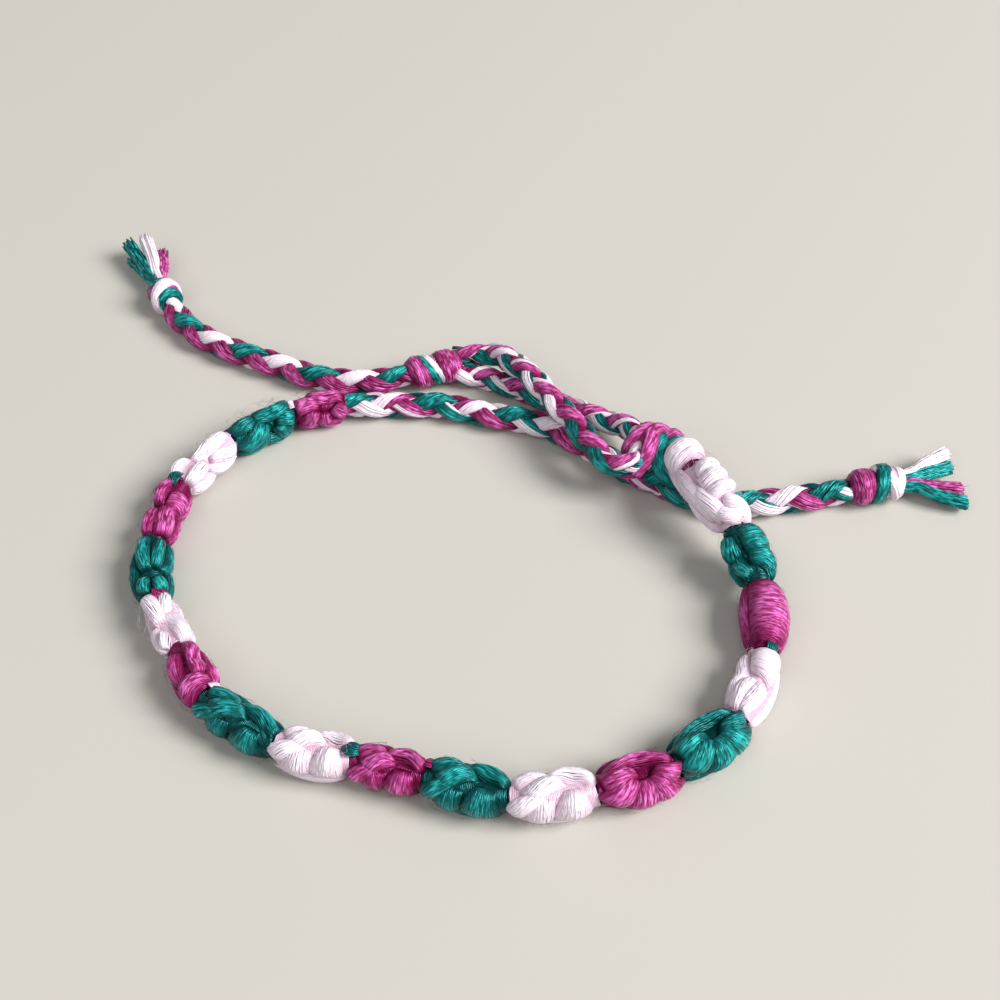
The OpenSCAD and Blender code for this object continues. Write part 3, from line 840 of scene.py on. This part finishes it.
def fuzz(knot, colour):
    """Short fine fibres that stand out from the knot's surface, each with one end in it."""
    count = FIBRES[colour]
    along = np.linspace(-1, 1, FIBRE_PLACES)
    share = dice.random((count, 1)) * FIBRE_SHARE + FIBRE_FROM
    share = share + FIBRE_LONG * along * dice.normal(size=(count, 1))
    turn = 360 * dice.random((count, 1))
    turn = turn + FIBRE_TURN * along * dice.normal(size=(count, 1))
    rise = FIBRE_TALL * np.linspace(0, 1, FIBRE_PLACES) * dice.random((count, 1)) - FIBRE_SUNK
    plies, outward = knot_place(knot, share, turn, rise)
    return spin(plies, outward + FIBRE_LEAN, FIBRE_PLY, colour, sides=3)


def band_knot(number, knot):
    """One knot: a wound core, the loops of its back and of its kind, and its fuzz."""
    name = f"band_knot_{number:02d}"
    colour = knot[FLOSS_NAME]
    ends = route_at(BAND_ROUTE, np.array([knot[START], knot[END]], float))
    length = np.linalg.norm(ends[1] - ends[0])
    bundles = [winding(knot, length, colour), knot_core(knot, colour)]
    for loop in BACK_LOOPS + LOOPS[knot[KIND]]:
        plies, outward, crest = loop_of_floss(knot, loop, length)
        bundles.append(spin(plies, outward, KNOT_PLY, colour, crest))
    bundles.append(fuzz(knot, colour))
    piece = thread_piece(name + "_floss", bundles)
    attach(piece, "root")
    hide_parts(name)


for index, knot in enumerate(KNOTS):
    band_knot(index + 1, knot)

# The core of the band is the floss of the two colours that a knot isn't tied in, carried through
# the whole row as one slack bundle. It shows only in the gaps between two knots, where it is green.
CARRIED_PLIES = 14
CARRIED_PLY = 0.34
CARRIED_STEP = 0.8
CARRIED_TWIST = 30
CARRIED_OUT = 0.85
CARRIED_CORE = 1.5


def carried_core(colour):
    """A bundle of plies with a slow twist, round a plain core."""
    count, far = even_steps(BAND_ROUTE, CARRIED_STEP)
    place, _, side, up = route_frame(BAND_ROUTE, count)
    angle = 2 * np.pi * (np.arange(CARRIED_PLIES)[:, None] / CARRIED_PLIES + far / CARRIED_TWIST)
    out = around(angle, side, up)
    bundles = [spin(place + CARRIED_OUT * out, out, CARRIED_PLY, colour),
               spin(place[None], up[None], CARRIED_CORE, colour, sides=8)]
    piece = thread_piece("core_threads_floss", bundles)
    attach(piece, "root")
    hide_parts("core_threads")


carried_core("green")

# Between some knots, and deep in the first one's dimple, a few carried threads of another colour
# come to the surface. They are a few plies of floss, held down at both ends by the knots.
# Each row: where along the route, the angle, how far from the band's middle, in mm, colour, half
# width and half length in mm, and how far they bend sideways in mm
AT, ANGLE, PEEK_OUT, PEEK_COLOUR, PEEK_WIDE, PEEK_HALF, BEND = range(7)
PEEKS = [
    (4.0, 60, 1.85, "green", 0.5, 0.8, 0.2), (10.03, 95, 1.95, "green", 0.7, 1.0, 0.5),
    (12.0, 125, 1.85, "pink", 0.5, 0.7, 0.2), (13.95, 120, 1.9, "magenta", 0.8, 1.0, -0.4),
    (15.96, 88, 2.12, "green", 0.5, 1.1, 0.1), (18.0, 105, 1.8, "pink", 0.4, 0.6, 0.1),
    (9.0, 120, 1.8, "magenta", 0.7, 0.8, 0.3),
    (0.60, 112, 1.62, "magenta", 1.0, 0.35, 0.3)]
PEEK_SPACING = 0.16
PEEK_PLACES = 9
PEEK_SPREAD = 1.1
PEEK_GATHER = 0.5
PEEK_SINK = 0.6
PEEK_PROUD = 0.04
PEEK_DEEP = 1.6
PEEK_SHINE = 3
PEEK_CREST = 0.55


def carried_threads(colour):
    """The plies of one colour that show, gathered and sunk at both ends."""
    bundles = []
    for row in PEEKS:
        if row[PEEK_COLOUR] != colour:
            continue
        count = round(2 * row[PEEK_WIDE] / PEEK_SPACING)
        here = np.linspace(-1, 1, PEEK_PLACES)[None] * np.ones((count, 1))
        gathered = PEEK_SPREAD - PEEK_GATHER * here**2
        sideways = np.linspace(-1, 1, count)[:, None] * row[PEEK_WIDE] * gathered
        angle = np.radians(row[ANGLE]) + (sideways + row[BEND] * here**2) / row[PEEK_OUT]
        ends = route_at(BAND_ROUTE, np.array([row[AT] - 0.5, row[AT] + 0.5]))
        step = np.linalg.norm(ends[1] - ends[0])
        place, _, side, up = route_frame(BAND_ROUTE, row[AT] + here * row[PEEK_HALF] / step)
        out = around(angle, side, up)
        radius = row[PEEK_OUT] - PEEK_SINK * here**2 + PEEK_PROUD * dice.normal(size=(count, 1))
        # The deeper a carried thread lies in the band, the more painted shade and the less painted highlight
        # it gets.
        crest = min(PEEK_CREST, PEEK_SHINE * (row[PEEK_OUT] - PEEK_DEEP))
        bundles.append(spin(place + radius[..., None] * out, out, KNOT_PLY, colour, crest))
    piece = thread_piece(f"carried_threads_{colour}", bundles)
    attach(piece, "root")


for colour in COLOURS:
    carried_threads(colour)

# The lashing binds the eye to the band's right end. It is a few turns of the same floss, green
# next to the first knot and magenta next to the eye, pulled tight over the end of the core.
LASHING_LONG = 2.4
LASHING_THICK = 3.0
LASHING_SHARES = (-0.1, 0.5, 1)
LASHING_WRAPS = [(0.22, 1.0, "green", 0.96, 0.2), (0.66, 1.9, "magenta", 1.04, 0.2)]
band_end = np.array(BAND_ROUTE[0])
band_way = route_frame(BAND_ROUTE, np.array([0.0]))[1][0]
lash_route = [tuple(band_end - band_way * (share * LASHING_LONG)) for share in LASHING_SHARES]
wraps_round("end_lashing", lash_route, LASHING_WRAPS, thick=LASHING_THICK, high_share=1.0, lean=45)

# The lashing's ends run on as three arms of the same floss, which nothing holds down. Two magenta
# ones lie over the eye's bend, and a green one goes down beside the first knot to the tie below.
# Each arm: its colour, its half breadth in mm and the places its middle passes
ARMS = [
    ("magenta", 0.75, [(23.8, 18.6, 5.4), (22.6, 18.6, 6.3), (21.6, 17.4, 6.7), (21.3, 15.8, 6.4),
                       (20.6, 14.2, 5.6), (19.6, 13.0, 4.4)]),
    ("magenta", 0.65, [(22.6, 19.2, 5.6), (21.2, 18.6, 6.4), (19.8, 17.6, 6.0), (19.0, 16.9, 4.9),
                       (18.9, 16.4, 3.6)]),
    ("green", 0.85, [(24.1, 18.6, 5.0), (23.1, 17.9, 5.8), (22.4, 16.6, 5.8), (22.2, 15.1, 5.2),
                     (22.6, 13.8, 4.3), (23.5, 13.2, 3.5), (24.5, 13.1, 2.9)])]
ARM_PLIES = 26
ARM_STEP = 0.4
ARM_TWIST = 20
ARM_HIGH = 0.42
ARM_CORE = 0.7
ARM_THIN = 0.35
ARM_SIDE_CREST = 0.2


def lashing_arm(number, colour, broad, route):
    """A flat bundle of plies along a route, thinner towards both ends."""
    count, far = even_steps(route, ARM_STEP)
    place, _, side, up = route_frame(route, count)
    spot = 2 * np.pi * (np.arange(ARM_PLIES)[:, None] / ARM_PLIES + far / ARM_TWIST)
    thin = 1 - ARM_THIN * np.abs(2 * far / far[-1] - 1) ** 3
    plies = place + around(spot, side, up, broad * thin, ARM_HIGH * thin)
    faces = around(spot, side, up, FLAT_TOP)
    # Each arm's top gets painted highlight, its sides and its core painted shade.
    bundles = [spin(plies, faces, PLY, colour, swing(ARM_SIDE_CREST, np.sin(spot))),
               spin(place[None], up[None], ARM_CORE, colour, CORE_CREST, sides=6)]
    piece = thread_piece(f"lashing_arm_{number}", bundles)
    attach(piece, "root")


for index, (colour, broad, route) in enumerate(ARMS):
    lashing_arm(index + 1, colour, broad, route)

# The surface that the bracelet lies on is plain, pale and dull. It is one wide sheet at height
# zero, there only to carry the shadows.
FLOOR_HALF = 1.5
floor_corners = [(x * FLOOR_HALF, y * FLOOR_HALF, 0) for x, y in ((-1, -1), (1, -1), (1, 1), (-1, 1))]
floor_mesh = bpy.data.meshes.new("floor")
floor_mesh.from_pydata(floor_corners, [], [(0, 1, 2, 3)])
floor = bpy.data.objects.new("floor", floor_mesh)
bpy.context.scene.collection.objects.link(floor)
floor_material = bpy.data.materials.new("pale floor")
floor_material.use_nodes = True
floor_skin = floor_material.node_tree.nodes["Principled BSDF"]
floor_skin.inputs["Base Color"].default_value = (0.48, 0.455, 0.41, 1)
floor_skin.inputs["Roughness"].default_value = 0.85
floor_mesh.materials.append(floor_material)

# A wide soft light comes from the right, as from a window, and a weaker one from the left front
# fills the shadows. The world around gives a little cool light from all sides.
# Each row: place in metres, side in metres, watts
LIGHTS = {"window": ((1.26, -0.34, 1.14), 0.9, 50), "fill": ((-0.7, -1.2, 1.5), 1.4, 14)}
for name, (spot, wide, power) in LIGHTS.items():
    data = bpy.data.lights.new(name, "AREA")
    data.size = wide
    data.energy = power
    light = bpy.data.objects.new(name, data)
    light.location = spot
    aim = -np.array(spot)
    yaw = math.atan2(aim[1], aim[0])
    tilt = math.atan2(math.hypot(aim[0], aim[1]), -aim[2])
    light.rotation_euler = (tilt, 0, yaw - math.pi / 2)
    bpy.context.scene.collection.objects.link(light)

world = bpy.data.worlds.new("studio")
world.use_nodes = True
world.node_tree.nodes["Background"].inputs["Color"].default_value = (0.9, 0.93, 1.0, 1)
world.node_tree.nodes["Background"].inputs["Strength"].default_value = 0.27
bpy.context.scene.world = world
bpy.context.scene.view_settings.view_transform = "Standard"
